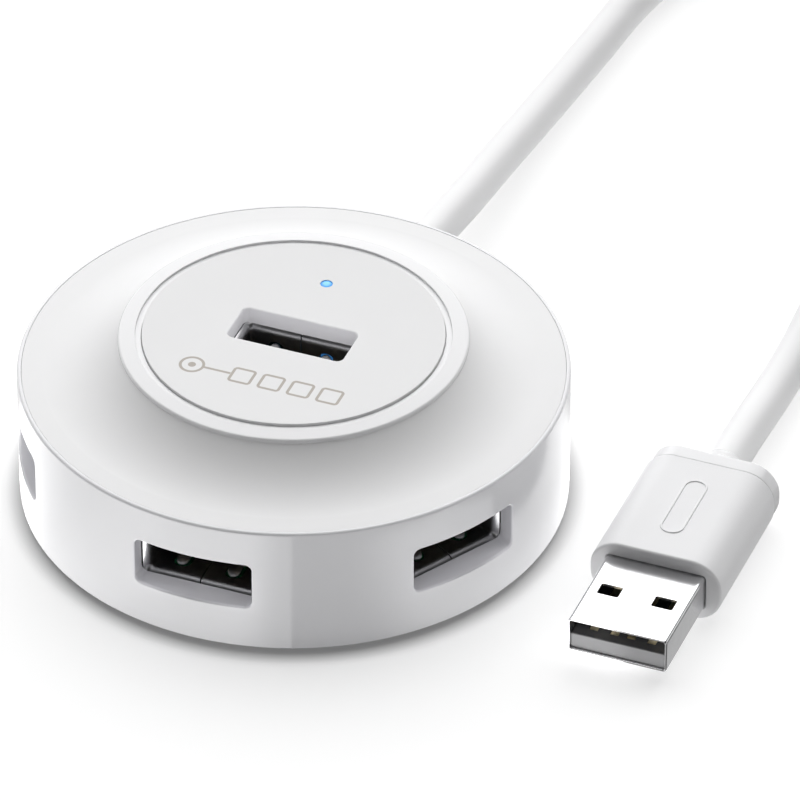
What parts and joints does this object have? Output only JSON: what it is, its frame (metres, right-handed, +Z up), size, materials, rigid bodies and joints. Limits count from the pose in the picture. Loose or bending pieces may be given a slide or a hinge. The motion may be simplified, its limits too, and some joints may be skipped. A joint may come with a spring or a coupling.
{
  "type": "usb hub",
  "caption": "Round white desktop USB hub: type A ports round its glossy wall and one in the raised centre, a status lamp, and a fixed cable with a type A plug.",
  "frame": {"origin": "bottom centre of the drum, on its axis, at the desk", "axes": "+Z up, +Y towards the cable's outlet, -Y towards the middle side port"},
  "size_m": [0.1426, 0.1624, 0.0221],
  "materials": {
    "gloss_white": "polished moulded ABS",
    "matte_white": "fine satin texture",
    "bezel_white": "polished moulded ABS",
    "disc_white": "fine sandblast texture",
    "base_white": "fine satin texture",
    "foot_rubber": "soft matte",
    "screw_steel": "zinc plated",
    "lamp_blue": "clear, lit blue",
    "board_green": "solder mask",
    "chip_black": "moulded epoxy",
    "can_steel": "drawn can",
    "capacitor_can": "drawn can",
    "led_body": "clear epoxy",
    "header_plastic": "moulded nylon",
    "socket_steel": "nickel plated steel sheet",
    "socket_plastic": "moulded",
    "contact_gold": "gold plated",
    "boot_white": "soft PVC",
    "cable_white": "extruded soft PVC",
    "wire_red": "PVC",
    "wire_white": "PVC",
    "wire_green": "PVC",
    "wire_black": "PVC",
    "plug_white": "fine satin texture, raised blank frame",
    "collar_white": "semi-gloss moulding",
    "plug_steel": "nickel plated steel sheet",
    "plug_plastic": "moulded"
  },
  "bodies": {
    "root": {"base_plate": "base_white", "rubber_feet": "foot_rubber", "base_screws": "screw_steel", "side_wall": "gloss_white", "top_cover": "matte_white", "bezel_ring": "bezel_white", "centre_disc": "disc_white", "light_pipe": "lamp_blue", "main_board": "board_green", "hub_chip": "chip_black", "crystal": "can_steel", "capacitors": "capacitor_can", "resistors": "chip_black", "status_led": "led_body", "cable_header": "header_plastic", "front_port_shell": "socket_steel", "front_port_insulator": "socket_plastic", "front_port_contacts": "contact_gold", "left_port_shell": "socket_steel", "left_port_insulator": "socket_plastic", "left_port_contacts": "contact_gold", "right_port_shell": "socket_steel", "right_port_insulator": "socket_plastic", "right_port_contacts": "contact_gold", "top_port_shell": "socket_steel", "top_port_insulator": "socket_plastic", "top_port_contacts": "contact_gold", "strain_relief": "boot_white", "cable_clamp": "base_white", "clamp_screws": "screw_steel", "inner_cable_end": "cable_white", "red_wire": "wire_red", "white_wire": "wire_white", "green_wire": "wire_green", "black_wire": "wire_black", "cable_hub_run": "cable_white", "cable_coil": "cable_white", "cable_plug_run": "cable_white", "plug_overmould": "plug_white", "plug_collar": "collar_white", "plug_neck": "collar_white", "plug_shell": "plug_steel", "plug_insulator": "plug_plastic", "plug_contacts": "contact_gold"}
  },
  "joints": []
}
